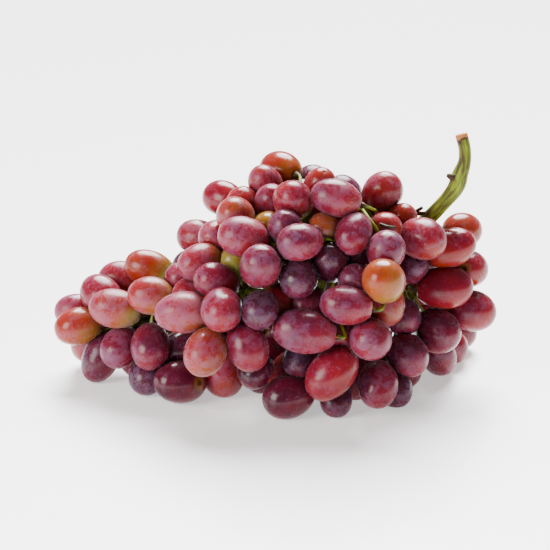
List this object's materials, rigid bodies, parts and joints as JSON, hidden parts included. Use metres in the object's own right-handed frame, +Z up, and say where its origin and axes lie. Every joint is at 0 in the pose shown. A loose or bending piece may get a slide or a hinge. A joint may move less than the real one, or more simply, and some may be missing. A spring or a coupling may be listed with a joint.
{
  "type": "bunch of grapes",
  "caption": "Bunch of red table grapes on its stem, lying on its side as picked, for fruit bowls, kitchens and market stalls.",
  "frame": {"origin": "middle of the bunch's bounding box, on the surface that the bunch lies on", "axes": "+X along the bunch from its thin tail towards its cut stem, +Y away from the fuller side that the picture shows, +Z up"},
  "size_m": [0.2104, 0.12, 0.1195],
  "materials": {
    "grape_skin": "waxy bloom over a smooth skin",
    "grape_stem": "green woody stalk"
  },
  "bodies": {
    "root": {"grapes_tail_end": "grape_skin", "grapes_tail_front": "grape_skin", "grapes_tail_back": "grape_skin", "grapes_left_front": "grape_skin", "grapes_left_top": "grape_skin", "grapes_left_back": "grape_skin", "grapes_middle_low": "grape_skin", "grapes_middle_front": "grape_skin", "grapes_middle_top": "grape_skin", "grapes_right_front": "grape_skin", "grapes_right_top": "grape_skin", "grapes_right_back": "grape_skin", "grapes_end_front": "grape_skin", "grapes_end_top": "grape_skin", "grapes_end_back": "grape_skin", "stem": "grape_stem"}
  },
  "joints": []
}
